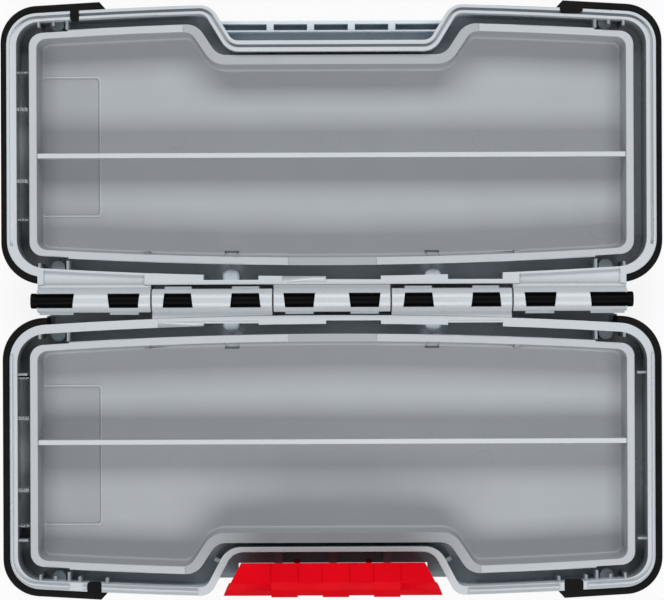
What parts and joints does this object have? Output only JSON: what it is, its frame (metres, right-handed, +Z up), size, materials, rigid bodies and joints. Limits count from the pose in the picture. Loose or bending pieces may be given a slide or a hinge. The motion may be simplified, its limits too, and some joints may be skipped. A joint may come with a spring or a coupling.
{
  "type": "accessory case",
  "caption": "Flat hinged plastic case for saw blades and small accessories, opened flat, with a divided inlay tray in each half, soft end bumpers and a snap latch.",
  "frame": {"origin": "under the middle of the hinge line, on the surface that both halves lie on", "axes": "+X along the hinge, +Y towards the front of the lid, +Z up from the opened case"},
  "size_m": [0.2648, 0.2394, 0.0417],
  "materials": {
    "shell": "satin moulded, light grey",
    "tray": "satin thin moulded, milky grey",
    "bumper": "matt soft black",
    "pin": "satin black",
    "latch": "semi-gloss red"
  },
  "bodies": {
    "base": {"base_shell": "shell", "base_tray": "tray", "base_bumper_left": "bumper", "base_bumper_right": "bumper", "hinge_pin_left": "pin", "hinge_pin_right": "pin"},
    "lid": {"lid_shell": "shell", "lid_tray": "tray", "lid_bumper_left": "bumper", "lid_bumper_right": "bumper"},
    "latch": {"latch": "latch"}
  },
  "joints": [
    {"name": "lid_hinge", "type": "hinge", "parent": "base", "child": "lid", "pos_m": [0, 0, 0.021], "axis": [1, 0, 0], "range_deg": [0, 180]},
    {"name": "latch_pivot", "type": "hinge", "parent": "base", "child": "latch", "pos_m": [0, -0.1084, 0.008], "axis": [1, 0, 0], "range_deg": [0, 80]}
  ]
}
